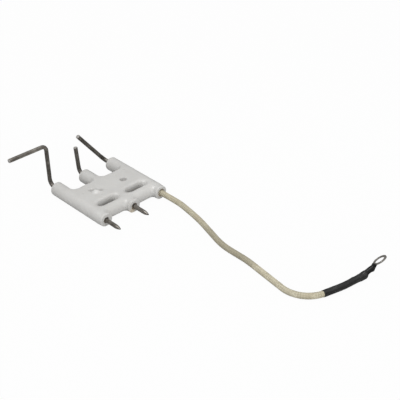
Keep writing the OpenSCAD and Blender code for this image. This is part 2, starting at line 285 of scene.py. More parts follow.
def level_mesh(name, distance, low, high, cell, rounds=3):
    """Closed mesh of the level distance = 0 (negative inside), one vertex per crossed cell,
    then settled onto the level."""
    low = np.asarray(low, float)
    counts = np.ceil((np.asarray(high, float) - low) / cell).astype(int) + 1
    axes = [low[i] + cell * np.arange(counts[i]) for i in range(3)]
    field = np.empty(counts, np.float32)
    plane_y, plane_z = np.meshgrid(axes[1], axes[2], indexing="ij")
    for i, x in enumerate(axes[0]):
        points = np.stack([np.full(plane_y.size, x), plane_y.ravel(), plane_z.ravel()], 1)
        field[i] = distance(points).reshape(counts[1], counts[2])
    inside = field < 0
    cells = counts - 1

    def neighbour(edges, across, back_a, back_b):
        """The cells beside these grid edges, stepped back across them."""
        found = list(edges)
        found[across[0]] = found[across[0]] - back_a
        found[across[1]] = found[across[1]] - back_b
        return found

    total = np.zeros((*cells, 3), np.float32)
    hits = np.zeros(cells, np.int16)
    crossings = []
    for axis in range(3):
        a, b = across = (axis + 1) % 3, (axis + 2) % 3
        near, far = [slice(None)] * 3, [slice(None)] * 3
        near[axis], far[axis] = slice(0, -1), slice(1, None)
        near, far = tuple(near), tuple(far)
        edges = np.nonzero(inside[near] != inside[far])
        start, stop = field[near][edges], field[far][edges]
        hit = np.stack(edges, 1).astype(np.float32)
        hit[:, axis] += start / (start - stop)
        for back_a in (0, 1):
            for back_b in (0, 1):
                at = neighbour(edges, across, back_a, back_b)
                ok = (at[a] >= 0) & (at[b] >= 0) & (at[a] < cells[a]) & (at[b] < cells[b])
                kept = tuple(index[ok] for index in at)
                np.add.at(total, kept, hit[ok])
                np.add.at(hits, kept, 1)
        crossings.append((across, edges, inside[near][edges]))

    active = hits > 0
    ids = np.full(cells, -1, np.int64)
    ids[active] = np.arange(active.sum())
    points = low + cell * (total[active] / hits[active][:, None]).astype(float)
    quads = []
    for across, edges, starts_inside in crossings:
        a, b = across
        ok = ((edges[a] > 0) & (edges[b] > 0)
              & (edges[a] < cells[a]) & (edges[b] < cells[b]))
        kept = [index[ok] for index in edges]
        quad = np.stack([ids[tuple(neighbour(kept, across, *back))]
                         for back in ((1, 1), (0, 1), (0, 0), (1, 0))], 1)
        flip = ~starts_inside[ok]
        quad[flip] = quad[flip][:, ::-1]
        quads.append(quad)

    reach = cell * 0.05
    probes = np.eye(3) * reach
    for _ in range(rounds):
        value = distance(points)
        slope = np.stack([(distance(points + probe) - distance(points - probe)) / (2 * reach)
                          for probe in probes], 1)
        move = slope * (value / np.maximum((slope * slope).sum(1), 0.05))[:, None]
        length = np.linalg.norm(move, axis=1)
        move *= np.minimum(1, 0.5 * cell / np.maximum(length, 1e-9))[:, None]
        points = points - move
    return make_mesh(name, points, [np.concatenate(quads)])


def soft_min(a, b, width):
    t = np.maximum(width - np.abs(a - b), 0) / width
    return np.minimum(a, b) - t * t * width * 0.25


def soft_max(a, b, width):
    return -soft_min(-a, -b, width)


def corner(a, b):
    """Distance to where both a and b are negative, round outside the corner."""
    return np.minimum(np.maximum(a, b), 0) + np.hypot(np.maximum(a, 0), np.maximum(b, 0))


# ------------------------------------------------------------------ material tools
def grey(value):
    return (value, value, value)


class Shader:
    """A node tree and its main node, with a short method for each kind of node."""

    def __init__(self, tree, main):
        self.tree = tree
        self.main = tree.nodes[main]

    def feed(self, socket, value):
        """Link a socket, or set a plain value; colours are given as three numbers."""
        if isinstance(value, bpy.types.NodeSocket):
            self.tree.links.new(value, socket)
        else:
            socket.default_value = (*value, 1) if socket.type == "RGBA" else value

    def set(self, name, value):
        self.feed(self.main.inputs[name], value)

    def add(self, kind, **values):
        """New node; each value goes to the input of that name, or else to the property."""
        node = self.tree.nodes.new(kind)
        for name, value in values.items():
            if name in node.inputs:
                self.feed(node.inputs[name], value)
            else:
                setattr(node, name, value)
        return node

    def coords(self, scale=(1, 1, 1)):
        place = self.add("ShaderNodeTexCoord").outputs["Object"]
        return self.add("ShaderNodeMapping", Scale=scale, Vector=place).outputs["Vector"]

    def noise(self, vector, scale, detail=4, rough=0.55):
        return self.add("ShaderNodeTexNoise", Scale=scale, Detail=detail, Roughness=rough,
                        Distortion=0.0, Vector=vector).outputs["Fac"]

    def ramp(self, fac, *stops):
        """Stops are (position, colour), or (position, number) for a grey."""
        node = self.add("ShaderNodeValToRGB", Fac=fac)
        elements = node.color_ramp.elements
        while len(elements) < len(stops):
            elements.new(0.5)
        for element, (position, colour) in zip(elements, stops):
            element.position = position
            element.color = (*(colour if isinstance(colour, tuple) else grey(colour)), 1)
        return node.outputs["Color"]

    def mix(self, fac, a, b, mode="MIX"):
        node = self.add("ShaderNodeMix", data_type="RGBA", blend_type=mode)
        for index, value in ((0, fac), (6, a), (7, b)):     # factor and the two colours
            self.feed(node.inputs[index], value)
        return node.outputs[2]

    def maths(self, operation, *values):
        node = self.add("ShaderNodeMath", operation=operation)
        for socket, value in zip(node.inputs, (*values, 0.0, 0.0)):
            self.feed(socket, value)
        return node.outputs[0]

    def times(self, a, b):
        return self.maths("MULTIPLY", a, b)

    def bump(self, height, strength, distance, **below):
        return self.add("ShaderNodeBump", Strength=strength, Distance=distance,
                        Height=height, **below).outputs["Normal"]

    def attribute(self, name):
        return self.add("ShaderNodeAttribute", attribute_name=name).outputs["Fac"]


def make_material(name, paint):
    material = bpy.data.materials.new(name)
    material.use_nodes = True
    paint(Shader(material.node_tree, "Principled BSDF"))
    return material


def paint_ceramic(sh):
    """White fired steatite: fine grain, faint cloudiness, a few specks, brown at the bores."""
    v = sh.coords()
    cloud = sh.ramp(sh.noise(v, scale=90, detail=3),
                    (0.3, (0.560, 0.553, 0.535)), (0.7, (0.605, 0.598, 0.580)))
    grain = sh.ramp(sh.noise(v, scale=2600, detail=2, rough=0.7), (0.35, 0.94), (0.65, 1.0))
    colour = sh.mix(1.0, cloud, grain, "MULTIPLY")
    cells = sh.add("ShaderNodeTexVoronoi", Scale=330.0, Vector=v).outputs["Distance"]
    speck = sh.ramp(cells, (0.04, 1), (0.09, 0))
    gate = sh.ramp(sh.noise(v, scale=210, detail=1), (0.60, 0), (0.66, 1))
    colour = sh.mix(sh.times(sh.times(speck, gate), 0.35), colour, (0.33, 0.29, 0.24))
    stain = sh.times(sh.attribute("stain"), sh.ramp(
        sh.noise(v, scale=700, rough=0.6), (0.35, 0.25), (0.7, 1)))
    colour = sh.mix(sh.times(stain, 0.55), colour, (0.44, 0.34, 0.23))
    # cement smeared over the middle barrel's end
    smear = sh.times(sh.attribute("smear"), sh.ramp(
        sh.noise(v, scale=900, detail=3, rough=0.6), (0.3, 0.6), (0.6, 1)))
    colour = sh.mix(smear, colour, (0.60, 0.51, 0.37))
    # painted shade darkens the recesses, and a painted highlight lightens the pip's top
    colour = sh.mix(sh.times(sh.attribute("dirt_and_painted_shade"), 1.0), colour, (0.17, 0.16, 0.15))
    colour = sh.mix(sh.times(sh.attribute("pip_painted_highlight"), 1.0), colour, (0.80, 0.80, 0.79))
    sh.set("Base Color", colour)
    sh.set("Roughness", sh.ramp(sh.noise(v, scale=420), (0.3, 0.27), (0.7, 0.36)))
    sh.set("Specular IOR Level", 0.6)
    sh.set("Subsurface Weight", 0.06)
    sh.set("Subsurface Radius", (0.0008, 0.0007, 0.0006))
    fine = sh.bump(sh.noise(v, scale=1500, detail=5, rough=0.65),
                   strength=0.35, distance=0.00006)
    sh.set("Normal", sh.bump(sh.noise(v, scale=260, detail=3),
                             strength=0.25, distance=0.00018, Normal=fine))


def paint_rod(sh):
    """Heat-resistant wire: drawing lines along the rod, dull oxide patches, heat tint."""
    v = sh.coords()
    patch = sh.ramp(sh.noise(v, scale=320, detail=5, rough=0.62), (0.28, (0.12, 0.109, 0.096)),
                    (0.5, (0.23, 0.212, 0.188)), (0.74, (0.38, 0.353, 0.32)))
    # close together round the rod, long along it
    stretched = sh.add("ShaderNodeCombineXYZ", X=sh.times(sh.attribute("turn"), 26.0),
                       Y=sh.times(sh.attribute("run"), 0.35)).outputs[0]
    lines = sh.noise(stretched, scale=1.6, detail=5.0, rough=0.7)
    colour = sh.mix(0.55, patch, sh.ramp(lines, (0.3, 0.62), (0.7, 1.25)), "MULTIPLY")
    tint = sh.ramp(sh.attribute("heat"), (0.0, (1, 1, 1)), (0.5, (1.02, 0.95, 0.86)),
                   (1.0, (0.88, 0.86, 0.88)))
    colour = sh.mix(0.8, colour, tint, "MULTIPLY")
    # painted light and shade: the brightness table lightens or darkens each stretch of rod
    shade = sh.times(sh.attribute("shade"), 1.0)
    shade = sh.add("ShaderNodeCombineColor", Red=shade, Green=shade, Blue=shade).outputs[0]
    colour = sh.mix(1.0, colour, shade, "MULTIPLY")
    # the sheared end face is barer
    sh.set("Base Color", sh.mix(sh.attribute("cut"), colour, (0.62, 0.60, 0.57)))
    sh.set("Metallic", 0.75)
    sh.set("Roughness", sh.ramp(sh.noise(v, scale=900), (0.3, 0.26), (0.72, 0.44)))
    drawn = sh.bump(lines, strength=0.35, distance=0.00003)
    sh.set("Normal", sh.bump(sh.noise(v, scale=2200, detail=3),
                             strength=0.3, distance=0.00003, Normal=drawn))


def paint_cement(sh):
    """Refractory cement: sandy, brown, uneven, darkened in the bores by painted shade."""
    v = sh.coords()
    colour = sh.ramp(sh.noise(v, scale=1300, detail=6, rough=0.7), (0.25, (0.30, 0.22, 0.145)),
                     (0.5, (0.50, 0.41, 0.30)), (0.75, (0.68, 0.60, 0.48)))
    # painted shade: the cement is darkened towards black, most in the narrowest bores
    sh.set("Base Color", sh.mix(sh.attribute("painted_bore_shade"), colour, (0.085, 0.078, 0.07)))
    sh.set("Roughness", 0.92)
    sh.set("Normal", sh.bump(sh.noise(v, scale=2600, detail=6, rough=0.75),
                             strength=0.8, distance=0.00012))


def paint_braid(sh):
    """Varnished glass-fibre braid: strand by strand tone, painted shade in the gaps between
    yarns, fibre lines.
    """
    v = sh.coords()
    base = sh.ramp(sh.attribute("tone"), (0.0, (0.42, 0.388, 0.295)),
                   (0.5, (0.53, 0.498, 0.39)), (1.0, (0.63, 0.60, 0.485)))
    cloud = sh.ramp(sh.noise(v, scale=160), (0.3, (0.90, 0.87, 0.80)), (0.7, (1.04, 1.03, 1.0)))
    colour = sh.mix(1.0, base, cloud, "MULTIPLY")
    # painted shade: the low places between the yarns are darkened
    painted_gap_shade = sh.ramp(sh.attribute("relief"), (0.0, (0.40, 0.33, 0.22)),
                  (0.45, (0.86, 0.83, 0.75)), (0.8, 1.0))
    colour = sh.mix(0.9, colour, painted_gap_shade, "MULTIPLY")
    # here only grime: random dark blotches along the braid
    dirt_and_painted_shade = sh.ramp(sh.noise(v, scale=60, detail=5, rough=0.6), (0.55, 0), (0.8, 0.45))
    colour = sh.mix(sh.attribute("soil"), colour, (0.28, 0.255, 0.18))
    sh.set("Base Color", sh.mix(dirt_and_painted_shade, colour, (0.42, 0.33, 0.21)))
    sh.set("Roughness", 0.62)
    sh.set("Sheen Weight", 0.15)
    sh.set("Sheen Roughness", 0.5)
    sh.set("Normal", sh.bump(sh.attribute("yarn"), strength=0.5, distance=0.00003))


def paint_silicone(sh):
    """Red-brown insulation."""
    v = sh.coords()
    sh.set("Base Color", sh.ramp(sh.noise(v, scale=500), (0.3, (0.42, 0.085, 0.05)),
                                 (0.7, (0.52, 0.12, 0.075))))
    sh.set("Roughness", 0.5)
    sh.set("Normal", sh.bump(sh.noise(v, scale=1800, detail=3),
                             strength=0.3, distance=0.00004))


def paint_conductor(sh):
    """Bright strands, copper to silver."""
    v = sh.coords()
    sh.set("Base Color", sh.ramp(sh.noise(v, scale=900), (0.3, (0.60, 0.52, 0.44)),
                                 (0.7, (0.80, 0.76, 0.70))))
    sh.set("Metallic", 1.0)
    sh.set("Roughness", sh.ramp(sh.noise(v, scale=1500, detail=3), (0.3, 0.25), (0.7, 0.42)))


def paint_sleeve(sh):
    """Black shrunk tubing: soft sheen, pale lengthwise streaks painted in as sheen, fine dust,
    slight orange peel, darker at the neck.
    """
    v = sh.coords()
    dust = sh.ramp(sh.noise(v, scale=700, detail=5, rough=0.65),
                   (0.35, 0.0085), (0.6, 0.015), (0.85, 0.04))
    # painted sheen: pale lengthwise streaks in the colour
    painted_sheen_streak = sh.ramp(sh.noise(sh.coords((0.25, 1.6, 2.6)), scale=420, rough=0.6),
                     (0.48, 0.0), (0.75, 0.6))
    neck = sh.times(sh.attribute("neck"), 0.8)
    sh.set("Base Color", sh.mix(neck, sh.mix(painted_sheen_streak, dust, grey(0.05)), grey(0.006)))
    sh.set("Specular IOR Level", sh.maths("MULTIPLY_ADD", sh.attribute("neck"), -0.18, 0.5))
    sh.set("Roughness", sh.ramp(sh.noise(v, scale=300), (0.3, 0.33), (0.7, 0.50)))
    fine = sh.bump(sh.noise(v, scale=1500, rough=0.6), strength=0.35, distance=0.00005)
    sh.set("Normal", sh.bump(sh.noise(v, scale=350, detail=2),
                             strength=0.25, distance=0.00015, Normal=fine))


def paint_tin(sh):
    """Tinned copper: dull silver, light scratches."""
    v = sh.coords()
    sh.set("Base Color", sh.ramp(
        sh.noise(v, scale=500, detail=5, rough=0.6), (0.3, (0.40, 0.375, 0.335)),
        (0.55, (0.53, 0.505, 0.46)), (0.8, (0.66, 0.635, 0.59))))
    sh.set("Metallic", 1.0)
    scratch = sh.coords((1, 14, 3))
    sh.set("Roughness", sh.ramp(sh.noise(scratch, scale=420, rough=0.7),
                                (0.3, 0.34), (0.7, 0.52)))
    sh.set("Normal", sh.bump(sh.noise(scratch, scale=700, rough=0.7),
                             strength=0.25, distance=0.00003))


# each material is named after the slot it fills
MATERIALS = {slot: make_material(slot, paint) for slot, paint in (
    ("ceramic", paint_ceramic), ("rod_steel", paint_rod), ("cement", paint_cement),
    ("braid", paint_braid), ("silicone", paint_silicone), ("conductor", paint_conductor),
    ("sleeve", paint_sleeve), ("tinned", paint_tin))}


def dress(ob, slot, body, *cad_nodes):
    """Material, moving body (None for a blended piece), CAD pieces replaced, and slot."""
    ob.data.materials.append(MATERIALS[slot])
    if body:
        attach(ob, body)
    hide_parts(*cad_nodes)


# ------------------------------------------------------------------ ceramic block
EDGE = 0.9                                   # rounding of the barrels' end rims
NOTCH_HALF, NOTCH_CORNER = 9.0, 5.0          # front notches: half width, corner radius
NOTCH_LENGTH_HALF = 60                       # runs out well past the front
NOTCH_FLOOR = FRONT - 13.6
NOSE = REAR + 2.9 + BARREL_R                 # centre of the web's round rear edge
SLOT_HALF, SLOT_R = 3.9, 1.6
PIP_X, PIP_Y, PIP_R, PIP_RISE = -9.5, 10.2, 3.9, 1.1
# dishes in the top: x, y, rim radius, depth
HOLLOW = (9.7, 9.8, 2.05, 1.9)
SINKS = ((-10.6, 13.6, 1.7, 0.65), (-6.2, 10.3, 1.7, 0.42))
BORE_R = 1.35
# rear counterbores: barrel x, radius, depth, softness of the edge
COUNTERBORES = ((-PITCH, 1.66, 3.5, 0.3), (0.0, 1.9, 3.5, 0.3), (PITCH, 2.15, 17, 0.45))


def block_distance(points):
    x, y, z = points.T
    slab = np.hypot(np.maximum(np.abs(x) - PITCH, 0), z) - BARREL_R
    end = np.abs(y - (REAR + FRONT) / 2) - (FRONT - REAR) / 2
    d = corner(slab + EDGE, end + EDGE) - EDGE
    barrels = np.min([np.hypot(x - c, z) for c in (-PITCH, 0.0, PITCH)], axis=0) - BARREL_R
    # two notches between the barrels at the front
    from_web = np.abs(np.abs(x) - PITCH / 2)
    notch = corner(from_web - (NOTCH_HALF - NOTCH_CORNER),
                   np.abs(y - (NOTCH_FLOOR + NOTCH_LENGTH_HALF))
                   - (NOTCH_LENGTH_HALF - NOTCH_CORNER)) - NOTCH_CORNER
    d = soft_max(d, -soft_max(notch, -barrels, 1.6), 0.8)
    # the web's rear edge is a full round that leaves the barrels' ends free
    nose = (np.where(y < NOSE, np.hypot(y - NOSE, z), np.abs(z)) - BARREL_R
            - 1.6 * ease((y - NOSE + 0.6) / 2.6))
    d = soft_max(d, -soft_max(-nose, -barrels, 1.8), 0.6)
    # slots through the web with a wide relief at the top
    past_slot = np.maximum(from_web - SLOT_HALF, 0)
    d = soft_max(d, -(np.hypot(past_slot, y) - SLOT_R), 0.5)
    relief = np.hypot(past_slot * 0.72, y + 0.45)
    d = soft_max(d, -((relief - (1.5 + 0.56 * (z - 1.6))) * 0.83), 1.3)
    # pip on the left, hollow on the right, shallow sinks beside the pip
    pip_z = BARREL_R + PIP_RISE - PIP_R
    pip = np.sqrt((x - PIP_X) ** 2 + (y - PIP_Y) ** 2 + (z - pip_z) ** 2) - PIP_R
    d = np.where(np.hypot(x - PIP_X, y - PIP_Y) < 4.5, soft_min(d, pip, 0.7), d)
    for cx, cy, rim, depth in (HOLLOW, *SINKS):
        ball = (rim * rim + depth * depth) / (2 * depth)
        dish = np.sqrt((x - cx) ** 2 + (y - cy) ** 2 + (z - (BARREL_R + ball - depth)) ** 2)
        d = soft_max(d, -(dish - ball), 0.35)
    for cx, radius, depth, softness in COUNTERBORES:
        from_axis = np.hypot(x - cx, z)
        d = soft_max(d, -(from_axis - BORE_R), 0.3)
        d = soft_max(d, -np.maximum(from_axis - radius, y - (REAR + depth)), softness)
    # the fired surface is never quite true
    return (d + 0.022 * np.sin(x * 0.61 + 1.3) * np.sin(y * 0.53 + 0.4)
            + 0.012 * np.sin(x * 1.7 - y * 1.1 + z))


def block_marks(x, y, z):
    """Where the ceramic is stained and smeared, and where shade is painted into its recesses and
    a highlight onto the pip, 0 to 1.
    """
    stain = np.zeros(len(x))
    for cx, radius, amount in ((-PITCH, 1.9, 0.35), (0.0, 1.9, 0.6), (PITCH, 2.15, 1.0)):
        outside = np.maximum(np.hypot(x - cx, z) - radius, 0)
        low = ease(0.5 - z / 3.0)
        stain = np.maximum(stain, amount * low * np.exp(-outside / 0.35)
                           * ease((REAR + 3.0 - y) / 3.0))
    # painted shade: the hollow, the sinks beside the pip and the low walls of the slots are
    # darkened
    top = ease((z - 0.5) / 1.5)
    dirt_and_painted_shade = 0.50 * bell(np.hypot(x - HOLLOW[0], y - HOLLOW[1]), 1.9, 8) * top
    for cx, cy, _, _ in SINKS:
        dirt_and_painted_shade = np.maximum(dirt_and_painted_shade, 0.38 * bell(np.hypot(x - cx, y - cy), 1.4) * top
                          * ease((4.15 - z) / 0.3))
    past_slot = np.maximum(np.abs(np.abs(x) - PITCH / 2) - SLOT_HALF, 0)
    dirt_and_painted_shade = np.maximum(dirt_and_painted_shade, 0.10 * ease((2.6 - np.hypot(past_slot, y)) / 1.0)
                      * ease((1.7 - z) / 1.0))
    # painted highlight: the top of the pip is lightened
    pip_painted_highlight = 0.35 * bell(np.hypot(x - PIP_X, y - PIP_Y), 2.4, 4) * ease((z - 4.2) / 0.3)
    from_axis = np.hypot(x, z)
    smear = (0.9 * bell(np.arctan2(z, x) + 2.2, 0.62, 4) * ease((from_axis - 1.5) / 0.5)
             * ease((5.0 - from_axis) / 1.0) * ease((REAR + 1.5 - y) / 1.0))
    return {"stain": stain, "dirt_and_painted_shade": dirt_and_painted_shade, "pip_painted_highlight": pip_painted_highlight, "smear": smear}


def build_block():
    ob = level_mesh("ceramic_block", block_distance, (-24.9, REAR - 0.8, -4.9),
                    (24.9, FRONT + 0.8, 5.6), cell=0.26)
    places = np.empty(len(ob.data.vertices) * 3)
    ob.data.vertices.foreach_get("co", places)
    add_attributes(ob.data, block_marks(*(places.reshape(-1, 3) / MM).T))
    dress(ob, "ceramic", "block", "ceramic_body")


# ------------------------------------------------------------------ electrode rods
PIN_END = REAR - 12.2        # rear tips of the two rods that stick out behind
POINT_LENGTH = 3.9
CHAMFER, BLUNT = 0.22, 0.25  # rounding of an unpointed start, and of the far end
ROD_SIDES = 56


def build_rod(name, cad_node, corners, bends, pointed, hot, shade):
    """hot is the length that is heat-tinted; the last argument is a table of (station,
    brightness) that paints light and shade on the rod, darker where it rises and brighter along
    the top arm.
    """
    path = Path(rounded_path(corners, bends, 0.06), up=(1, 0, 0), soften=0.5)
    length = path.length
    if pointed:
        u = np.linspace(0, 1, 26)
        start = POINT_LENGTH * u ** 1.25
        start_r = np.maximum(0.05, ROD_R * (1 - (1 - u) ** 1.45))
        start_r[0] = 0.03
    else:
        u = np.linspace(0, 1, 7)
        start = CHAMFER * (1 - np.cos(u * np.pi / 2))
        start_r = ROD_R - CHAMFER * (1 - np.sin(u * np.pi / 2))
    v = np.linspace(0, 1, 9)
    end = length - BLUNT * (1 - np.sin(v * np.pi / 2))
    end_r = ROD_R - BLUNT * (1 - np.cos(v * np.pi / 2))
    middle = np.arange(start[-1] + 0.25, end[0] - 0.1, 0.25)
    s = np.concatenate([start, middle, end])
    radii = np.concatenate([start_r, np.full(len(middle), ROD_R), end_r])[:, None]
    turn = angles(ROD_SIDES)
    # the wire flattens slightly where it is bent, and is a touch uneven along its length
    _, tangent, normal, side = path.at(s)
    bend = np.gradient(tangent, s, axis=0)
    bend_angle = np.arctan2((bend * side).sum(1), (bend * normal).sum(1))
    oval = 0.045 * np.clip(np.linalg.norm(bend, axis=1) / 0.25, 0, 1)
    radii = radii * (1 - oval[:, None] * np.cos(2 * (turn[None] - bend_angle[:, None])))
    radii = radii * (1 + 0.006 * np.sin(s[:, None] * 0.9 + 2 * np.cos(turn)[None])
                     + 0.004 * np.sin(3 * turn[None] + s[:, None] * 0.23))
    around = np.abs(np.repeat((turn / (2 * np.pi))[None], len(s), 0) * 2 - 1)
    marks = {"turn": around, "run": s, "heat": ease((s - (length - hot)) / hot),
             "cut": ease((s - (length - 0.24)) / 0.16), "shade": lookup(s, shade)}
    marks = {key: every_side(values, ROD_SIDES) for key, values in marks.items()}
    ob = sweep(name, path, s, radii, ROD_SIDES, marks)
    dress(ob, "rod_steel", "block", cad_node)


def build_rods():
    build_rod("ionisation_rod", "ionisation_electrode",
              [(-PITCH, PIN_END, 0), (-PITCH, FRONT + 5.7, 0),
               (-PITCH, FRONT + 6.42, 25.4), (-44.75, FRONT + 6.64, 25.4)],
              bends=[4, 3], pointed=True, hot=22,
              shade=[(0, 1.06), (58, 1.06), (64, 0.76), (84, 0.76), (90, 1.22), (120, 1.22)])
    build_rod("ignition_rod", "ignition_electrode",
              [(0, PIN_END, 0), (0, FRONT + 4.24, 0), (0, FRONT + 6.25, 16.4)],
              bends=[4], pointed=True, hot=12,
              shade=[(0, 1.06), (56, 1.06), (62, 0.68), (80, 0.74)])
    build_rod("earth_rod", "earth_electrode",
              [(PITCH, REAR + 11.2, 0), (PITCH, FRONT + 6.19, 0), (2.7, FRONT + 7.03, 22.2)],
              bends=[4], pointed=False, hot=14,
              shade=[(0, 1.0), (36, 1.0), (41, 0.68), (70, 0.78)])


# ------------------------------------------------------------------ cement in the rear bores
# name, CAD piece, x, fill depth, inner and outer radius, seed, painted shade on the cement,
# then the face's depth below the rear end, its slant and the slant's angle
SEALS = (
    ("ionisation_cement", "ionisation_cement_seal", -PITCH, 3.4, ROD_R + 0.02, 1.66, 3, 0.72,
     0.75, 0.45, 0.6),
    ("ignition_cement", "ignition_cement_seal", 0, 3.4, ROD_R + 0.02, 1.88, 5, 0.62,
     0.80, 0.65, 0.4),
    ("lead_cement", "earth_cement_seal", PITCH, 2.8, 1.74, 2.13, 8, 0.15,
     0.75, 0.25, 0.4),
)


def build_seal(name, cad_node, x, fill, inner, outer, seed, painted_bore_shade, depth, slant, slant_angle):
    sides, steps = 72, 9
    turn = angles(sides)
    u = np.linspace(0, 1, steps)
    radii = inner + (outer - inner) * u
    draws = np.random.default_rng(seed)
    phases = draws.uniform(0, 2 * np.pi, 8)
    # the face creeps up at both walls and is lumpy between
    face = (REAR + depth + slant * np.sin(turn + slant_angle))[:, None]
    face = face - 0.28 * np.exp(-(u / 0.16))[None] - 0.30 * np.exp(-((1 - u) / 0.16))[None]
    face = face + 0.05 * sum(np.sin((i + 2) * turn[:, None] + phases[i] + 5 * u[None] * (i % 3))
                             for i in range(8)) / 2.2
    face = face + 0.03 * draws.standard_normal(face.shape)
    bottom = np.full(sides, REAR + fill)
    rows = [*zip(radii, face.T), (outer, bottom), (inner, bottom)]
    verts = np.concatenate([np.stack([x + r * np.cos(turn), y, r * np.sin(turn)], 1)
                            for r, y in rows])
    quads = grid_faces(len(rows), sides, flip=True, closed=True)
    ob = make_mesh(name, verts, [quads], {"painted_bore_shade": np.full(len(verts), float(painted_bore_shade))})
    sharpen(ob, 60)
    dress(ob, "cement", "block", cad_node)


def build_ferrule():
    """Crimp ferrule inside the right barrel, pressed at two places."""
    path = Path([(PITCH, REAR + 5.8 + 0.05 * i, 0) for i in range(209)])
    s = np.linspace(0, path.length, 105)
    sides = 48
    four_sided = (0.5 + 0.5 * np.cos(2 * angles(sides)[None])) ** 2
    dents = sum(0.14 * bell(s[:, None] - place, 0.9) * four_sided for place in (2.6, 7.6))
    rims = 0.05 * bell(s, 0.2) + 0.05 * bell(s - path.length, 0.2)
    inner = np.where(s < 5.2, 0.70, ROD_R + 0.02)
    ob = tube("crimp_ferrule_tube", path, s, 1.62 - dents - rims[:, None], inner, sides)
    dress(ob, "tinned", "block", "crimp_ferrule")


# ------------------------------------------------------------------ lead
def behind(x, distance, z):
    """A point this far behind the barrels' rear faces."""
    return np.array([x, REAR - distance, z], float)


CORNERS = [behind(*place) for place in (
    (PITCH, 15.99, 0), (18.31, 32.76, -1.5), (10.96, 58.33, -2.25), (10.83, 76.94, -2.25),
    (4.86, 118.83, -2.25), (30.02, 125.01, -2.25), (42.6, 126.45, -2.25))]
CORNER_RADII = [60, 79.7, 48.2, 58.7, 15.7, 41.8, 6]
LAST = CORNERS[-1]

# the terminal's axes: along it, square to its ring, and across it
OUT = unit(np.array([0.8749, -0.2338, 0.4240]))
NORMAL = np.array([-0.2279, 0.5738, 0.7867])
NORMAL = unit(NORMAL - OUT * (OUT @ NORMAL))
SIDE = np.cross(NORMAL, OUT)

ROUTE = Path(rounded_path([(PITCH, REAR + 10.8, 0), *CORNERS, LAST + OUT * 30],
                          CORNER_RADII, 0.1), soften=2.0)


def between(index, share):
    return CORNERS[index] + (CORNERS[index + 1] - CORNERS[index]) * share


HINGES = [behind(PITCH, 8.8, 0), between(1, 0.517), between(2, 0.573), between(3, 0.376)]
HINGE_S = [ROUTE.find(hinge) for hinge in HINGES]
# how far each bend spreads before and after its hinge
REACH = [(8.7, 14.0), (14.5, 11.4), (11.4, 11.6), (11.6, 16.0)]
CUTS = [(a + b) / 2 for a, b in zip(HINGE_S, HINGE_S[1:])]

# stations where the layers begin and end
LEAD_START = ROUTE.find((PITCH, REAR + 5.6, 0))
CONDUCTOR_START = 0.15
LAST_S = ROUTE.find(LAST)
BRAID_END, CORE_END, CONDUCTOR_END = LAST_S + 1.9, LAST_S + 2.6, LAST_S + 7.6

CARRIERS, BRAID_PITCH = 8, 9.6       # carriers each way, and the length of one turn
YARN_HALF = 0.47                     # half a yarn's width, in carriers
BRAID_SIDES = 112
BRAID_STEP = 0.13
STRANDS, STRAND_LAY = 6, 14.0
# how soiled the braid is: distance from its start, amount
SOIL = [(0, 0.28), (5, 0.35), (12, 0.12), (20, 0.26), (45, 0.34), (50, 0.60), (56, 0.66),
        (80, 0.76), (88, 0.55), (92, 0.0), (112, 0.02), (118, 0.18), (300, 0.18)]


def woven(s, turn):
    """Radius of the braid at station s and angle turn, and its attributes."""
    a = turn / (2 * np.pi) * CARRIERS
    u = a + s * CARRIERS / BRAID_PITCH
    v = a - s * CARRIERS / BRAID_PITCH
    whole_u, whole_v = np.floor(u), np.floor(v)
    part_u, part_v = u - whole_u - 0.5, v - whole_v - 0.5
    over = np.where((whole_u + whole_v) % 2 < 0.5, 1.0, -1.0)

    def yarn_height(wave, part):
        crown = np.sqrt(np.clip(1 - (np.abs(part) / YARN_HALF) ** 2.6, 0, 1))
        return wave + 0.10 * crown - 0.10 * (crown <= 0)

    height_u = yarn_height(0.075 * over * np.cos(np.pi * part_v), part_u)
    height_v = yarn_height(-0.075 * over * np.cos(np.pi * part_u), part_v)
    height = np.maximum(np.maximum(height_u, height_v), -0.05)
    u_on_top = height_u >= height_v
    fibres = np.cos(2 * np.pi * 5 * np.where(u_on_top, part_u, part_v))
    carrier = np.where(u_on_top, np.mod(whole_u, CARRIERS),
                       np.mod(-whole_v, CARRIERS) + CARRIERS)
    tone = (0.5 + 0.5 * np.sin(carrier * 12.9898 + 0.7) * 0.8
            + 0.08 * np.sin(s * 0.7 + carrier))
    soil = every_side(lookup(s[:, 0] - LEAD_START, SOIL), turn.shape[1])
    return 1.525 + height + 0.008 * fibres, {
        "relief": np.clip((height + 0.05) / 0.22, 0, 1), "tone": np.clip(tone, 0, 1),
        "yarn": 0.5 + 0.5 * fibres, "soil": soil}


